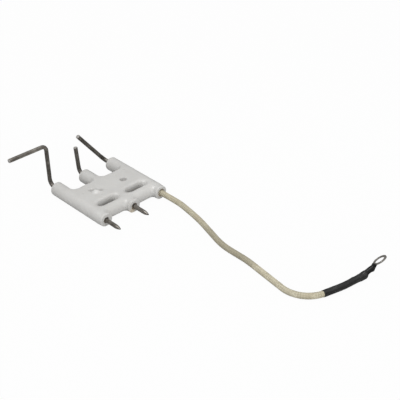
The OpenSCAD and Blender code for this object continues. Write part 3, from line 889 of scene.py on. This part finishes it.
def build_lead():
    """Braid, insulation and conductor, each in four pieces, one round each hinge."""
    for i, (hinge, hinge_s, reach) in enumerate(zip(HINGES, HINGE_S, REACH)):
        tangent = ROUTE.at(hinge_s)[1]

        def stations(first, last, step):
            start, end = [first, *CUTS][i], [*CUTS, last][i]
            return np.linspace(start, end, max(3, int(round((end - start) / step))) + 1)

        def finish(ob, slot, cad_name):
            numbers = (4, 5) if i == 3 else (i + 1,)
            dress(ob, slot, None, *(f"{cad_name}_{number}" for number in numbers))
            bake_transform(ob)

        s = stations(LEAD_START, BRAID_END, BRAID_STEP)
        outer, marks = woven(s[:, None], angles(BRAID_SIDES)[None])
        ob = tube(f"glass_braid_{i + 1}", ROUTE, s, outer, np.full(len(s), 1.37),
                  BRAID_SIDES, marks)
        finish(ob, "braid", "lead_braid")

        s = stations(LEAD_START, CORE_END, 0.5)
        ob = tube(f"silicone_core_{i + 1}", ROUTE, s, np.full(len(s), 1.30),
                  np.full(len(s), 0.70), 32)
        finish(ob, "silicone", "lead_insulation")

        s = stations(CONDUCTOR_START, CONDUCTOR_END, 0.3)
        twist = (angles(48)[None] * STRANDS + s[:, None] * 2 * np.pi * STRANDS / STRAND_LAY) / 2
        ob = sweep(f"conductor_strands_{i + 1}", ROUTE, s,
                   0.50 + 0.14 * np.abs(np.sin(twist)) ** 0.7, 48)
        finish(ob, "conductor", "lead_conductor")


# ------------------------------------------------------------------ heat-shrink sleeve
SLEEVE_START = ROUTE.find(CORNERS[4] + unit(CORNERS[5] - CORNERS[4]) * 14.35) - 0.95
SLEEVE_END = LAST_S + 9.4
SLEEVE_RIM = 0.12
# the tables' first column is the distance past the lead's last corner
SLEEVE_OUTER = [(-40, 1.84), (-2.9, 1.85), (-1.8, 2.00), (0.6, 2.06), (1.4, 2.06), (2.2, 1.98),
                (2.9, 1.62), (3.5, 1.48), (4.6, 1.46), (5.6, 1.52), (6.4, 1.57), (7.1, 1.47),
                (8.1, 1.38), (8.7, 1.24), (9.2, 1.17)]
SLEEVE_INNER = [(-40, 1.735), (1.7, 1.735), (2.7, 1.21), (7.6, 1.20), (8.6, 1.04), (9.2, 1.0)]
# offset towards the ring's side
SLEEVE_OFFSET = [(-40, 0), (-3, 0), (-1.5, -0.08), (1.6, -0.12), (3.3, 0.18), (5.0, 0.20),
                 (6.4, 0.10), (7.2, 0.14), (8.2, 0.62), (8.9, 0.90), (9.8, 0.98)]


def smoothed(values):
    kernel = np.hanning(7)
    kernel /= kernel.sum()
    return np.convolve(np.pad(values, 3, mode="edge"), kernel, "valid")


def build_sleeve():
    """Swells over the braid's end, narrows onto the terminal's barrel, shows the crimp as a
    smaller swelling and ends slantwise on the tongue."""
    quarter = np.linspace(0, np.pi / 2, 5)
    s = np.concatenate([SLEEVE_START + SLEEVE_RIM * (1 - np.cos(quarter))[:-1],
                        np.arange(SLEEVE_START + SLEEVE_RIM, SLEEVE_END - SLEEVE_RIM, 0.14),
                        SLEEVE_END - SLEEVE_RIM * (1 - np.sin(quarter))])
    past = s - LAST_S
    column = past[:, None]
    sides = 72
    turn = angles(sides)
    _, _, normal, side = ROUTE.at(s)
    outward = (normal[:, None] * np.cos(turn)[None, :, None]
               + side[:, None] * np.sin(turn)[None, :, None])
    lift = outward @ NORMAL      # +1 on the ring's side, -1 away from it
    wrinkles = (0.018 * np.sin(s[:, None] * 1.9 + 1.2 * np.sin(turn)[None])
                * np.sin(2 * turn[None] + s[:, None] * 0.31))
    wrinkles = wrinkles + 0.035 * bell(column - 3.0, 0.7) * np.cos(5 * turn[None] + 0.6)
    rims = (-0.10 * np.exp(-(s - SLEEVE_START) / 0.07)
            - 0.10 * np.exp(-(SLEEVE_END - s) / 0.07))
    flare = 0.05 * np.exp(-(s - SLEEVE_START) / 0.8)
    outer = smoothed(lookup(past, SLEEVE_OUTER))[:, None] + wrinkles + (rims + flare)[:, None]
    # one-sided bulges: place, width, height, and on which side (+1 the ring's)
    for place, width, height, facing in ((6.5, 0.75, 0.22, -1), (1.3, 1.1, 0.16, -1),
                                         (-5.9, 1.1, 0.14, 1)):
        outer = outer + height * bell(column - place, width) * np.clip(facing * lift, 0, 1)
    inner = lookup(past, SLEEVE_INNER)
    offset = smoothed(lookup(past, SLEEVE_OFFSET))
    flat = (1.05 * ease((past - 7.4) / 1.4))[:, None]    # the end is drawn flat
    slant = -0.5 * ease((past - 7.4) / 2.0)[:, None] * lift
    shift = (NORMAL * (offset[:, None] - 0.36 * flat * lift)[..., None]
             + OUT * slant[..., None] + SIDE * (flat * (outward @ SIDE))[..., None])
    neck = every_side(ease((past - 1.8) / 1.5), sides)
    ob = tube("heat_shrink", ROUTE, s, np.maximum(outer, inner[:, None] + 0.04), inner, sides,
              {"neck": neck}, shift)
    dress(ob, "sleeve", "lead_end", "heat_shrink_sleeve")


# ------------------------------------------------------------------ ring terminal
RING_X, RING_R, HOLE_R = 12.45, 3.9, 2.65
PLATE_Z, PLATE_HALF, PLATE_EDGE = 1.02, 0.3, 0.11


def terminal_distance(points):
    """In the terminal's own axes: x out from the lead's last corner, z square to the ring."""
    x, y, z = points.T
    ring = np.hypot(x - RING_X, y) - RING_R
    tongue = corner(np.abs(x - 9.0) - 1.6, np.abs(y) - 1.3)
    outline = np.maximum(soft_min(ring, tongue, 1.2), -(np.hypot(x - RING_X, y) - HOLE_R))
    plate = corner(outline + PLATE_EDGE,
                   np.abs(z - PLATE_Z) - PLATE_HALF + PLATE_EDGE) - PLATE_EDGE
    # inside the sleeve the tongue is no wider than the barrel
    from_axis = np.hypot(y, z)
    plate = np.maximum(plate, np.where(x < 8.4, from_axis - 1.3, -1.0))
    barrel = soft_max(soft_max(from_axis - 1.16, np.abs(x - 5.15) - 2.25, 0.2),
                      -(from_axis - 0.70), 0.1)
    # the rolled seam runs along the side away from the tongue
    seam = np.abs(y) * 0.9 - 0.08 - 0.5 * np.maximum(-z - 1.0, 0)
    barrel = soft_max(barrel, -np.where(z < -0.5, np.maximum(seam, 0.98 + z), 1.0), 0.06)
    # crimp dents on the same side
    for place in (4.4, 6.5):
        dent = np.sqrt(((x - place) / 0.9) ** 2 + (y / 0.7) ** 2 + ((z + 1.3) / 0.42) ** 2) - 1
        barrel = soft_max(barrel, -dent * 0.45, 0.2)
    return soft_min(plate, barrel, 0.35)


def build_terminal():
    ob = level_mesh("ring_terminal_lug", terminal_distance, (2.6, -4.2, -1.5),
                    (16.7, 4.2, 1.7), cell=0.09)
    rows = [(OUT[k], SIDE[k], NORMAL[k], LAST[k] * MM) for k in range(3)]
    ob.data.transform(Matrix((*rows, (0, 0, 0, 1))))
    dress(ob, "tinned", "lead_end", "ring_terminal")


# ------------------------------------------------------------------ floor, light, camera
def paint_floor(sh):
    """A bright paper sweep: what the camera sees is mostly its own even white."""
    paper = sh.ramp(sh.noise(sh.coords(), scale=9, detail=3), (0.3, 0.58), (0.7, 0.62))
    sh.set("Roughness", 0.9)
    sh.set("Specular IOR Level", 0.1)
    rays = sh.add("ShaderNodeLightPath").outputs
    sh.set("Base Color", sh.mix(sh.times(rays["Is Glossy Ray"], 0.55), paper, grey(0.05)))
    glow = sh.add("ShaderNodeEmission", Color=grey(1), Strength=1.0)
    blend = sh.add("ShaderNodeMixShader")
    sources = (sh.times(rays["Is Camera Ray"], 0.965), sh.main.outputs["BSDF"],
               glow.outputs[0])
    for socket, value in zip(blend.inputs, sources):
        sh.feed(socket, value)
    sh.feed(sh.tree.nodes["Material Output"].inputs["Surface"], blend.outputs[0])


def build_floor():
    half, height = 4, -4.4 * MM      # metres
    mesh = bpy.data.meshes.new("floor")
    mesh.from_pydata([(-half, -half, height), (half, -half, height),
                      (half, half, height), (-half, half, height)], [], [(0, 1, 2, 3)])
    floor = link_object("floor", mesh)
    mesh.materials.append(make_material("floor", paint_floor))


def build_world():
    world = bpy.data.worlds.new("studio")
    scene.world = world
    world.use_nodes = True
    sh = Shader(world.node_tree, "Background")
    sh.set("Color", grey(1.0))
    rays = sh.add("ShaderNodeLightPath").outputs
    glossy = rays["Is Glossy Ray"]
    # what shines back in the metal: a darker room round the table, brighter above
    direction = sh.add("ShaderNodeTexCoord").outputs["Generated"]
    height = sh.add("ShaderNodeSeparateXYZ", Vector=direction).outputs["Z"]
    room = sh.add("ShaderNodeMapRange")
    # height, its range (from, to), and the brightness at either end
    for socket, value in zip(room.inputs, (height, 0.0, 0.9, 0.05, 0.62)):
        sh.feed(socket, value)
    reflected = sh.times(glossy, room.outputs[0])
    ambient = sh.times(sh.maths("SUBTRACT", 1.0, glossy), 0.64)
    light = sh.maths("ADD", reflected, ambient)
    camera_extra = 0.34
    sh.set("Strength", sh.maths("MULTIPLY_ADD", rays["Is Camera Ray"], camera_extra, light))


def build_light(name, place, size, power):
    """Round area light aimed at the product; metres and watts."""
    light = bpy.data.lights.new(name, "AREA")
    light.shape = "DISK"
    light.size = size
    light.energy = power
    ob = link_object(name, light)
    ob.location = place
    ob.rotation_mode = "QUATERNION"
    aim = Vector((0.01, -0.04, 0)) - Vector(place)
    ob.rotation_quaternion = aim.to_track_quat("-Z", "Y")
    return ob


def build_camera():
    camera = bpy.data.cameras.new("camera")
    camera.sensor_width = 36.0
    camera.lens = 89.3349
    camera.clip_start, camera.clip_end = 0.01, 20
    ob = link_object("camera", camera)
    right = Vector((0.7249328, -0.6887812, -0.0072738))
    up = Vector((0.3799295, 0.3910178, 0.8383070))
    forward = Vector((0.5745659, 0.6104798, -0.5451499))
    turn = Matrix((right, up, -forward)).transposed()
    place = Matrix.Translation((-0.289472, -0.372143, 0.303546))
    ob.matrix_world = place @ turn.to_4x4()
    scene.camera = ob
    scene.view_settings.view_transform = "Standard"
    scene.view_settings.look = "None"


build_block()
build_rods()
for seal in SEALS:
    build_seal(*seal)
build_ferrule()
build_lead()
build_sleeve()
build_terminal()
build_floor()
build_world()
build_light("key", place=(-0.26, 0.05, 0.94), size=0.46, power=3.6)
front = build_light("front", place=(-0.14, -1.0, 0.38), size=0.60, power=3.6)
front.visible_glossy = False
build_camera()
